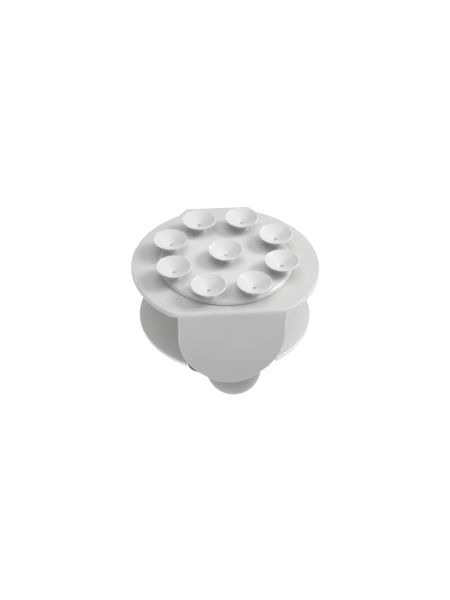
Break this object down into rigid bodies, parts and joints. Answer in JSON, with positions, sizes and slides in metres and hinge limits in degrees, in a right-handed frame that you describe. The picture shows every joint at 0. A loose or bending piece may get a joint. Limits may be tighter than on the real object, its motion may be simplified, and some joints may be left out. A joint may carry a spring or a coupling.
{
  "type": "flower frog",
  "caption": "Suction-cup flower frog: a plate with a folded ear and strap carries a stem disc and a swivelling, tilting ball-ended stem socket.",
  "frame": {"origin": "centre of the plane that the suction cup rims lie in", "axes": "+Z towards the surface the pad grips, -Y towards the front ear, +X to the right"},
  "size_m": [0.06, 0.0566, 0.0509],
  "materials": {
    "plate_plastic": "satin white moulded plastic, slightly translucent",
    "silicone": "soft white silicone",
    "tape": "thin clear acrylic adhesive sheet",
    "screw_steel": "plain stainless",
    "white_plastic": "satin white moulded plastic",
    "gloss_plastic": "polished white moulded plastic",
    "dark_rubber": "dark grey moulded rubber",
    "nylon": "natural nylon",
    "ball_plastic": "smooth white moulded plastic",
    "grip_silicone": "soft milky silicone"
  },
  "bodies": {
    "base": {"mounting_plate": "plate_plastic", "suction_pad": "silicone", "pad_tape": "tape", "plate_screws": "screw_steel", "spacer_column": "white_plastic", "stem_disc": "gloss_plastic", "disc_screws": "screw_steel", "friction_ring": "dark_rubber", "slip_washer": "nylon", "grommet_front_left": "dark_rubber", "grommet_front_right": "dark_rubber", "grommet_back_right": "dark_rubber", "grommet_back_left": "dark_rubber"},
    "swivel": {"turret": "white_plastic", "tilt_screw": "screw_steel", "tilt_nut": "screw_steel", "tilt_washer_left": "nylon", "tilt_washer_right": "nylon"},
    "socket": {"socket_arm": "white_plastic", "socket_ball": "ball_plastic", "stem_grip": "grip_silicone"}
  },
  "joints": [
    {"name": "socket_swivel", "type": "hinge", "parent": "base", "child": "swivel", "pos_m": [0, 0, -0.0202], "axis": [0, 0, 1], "continuous": true},
    {"name": "socket_tilt", "type": "hinge", "parent": "swivel", "child": "socket", "pos_m": [0, 0, -0.0202], "axis": [0.9781, 0.2079, 0], "range_deg": [-5, 57]}
  ]
}
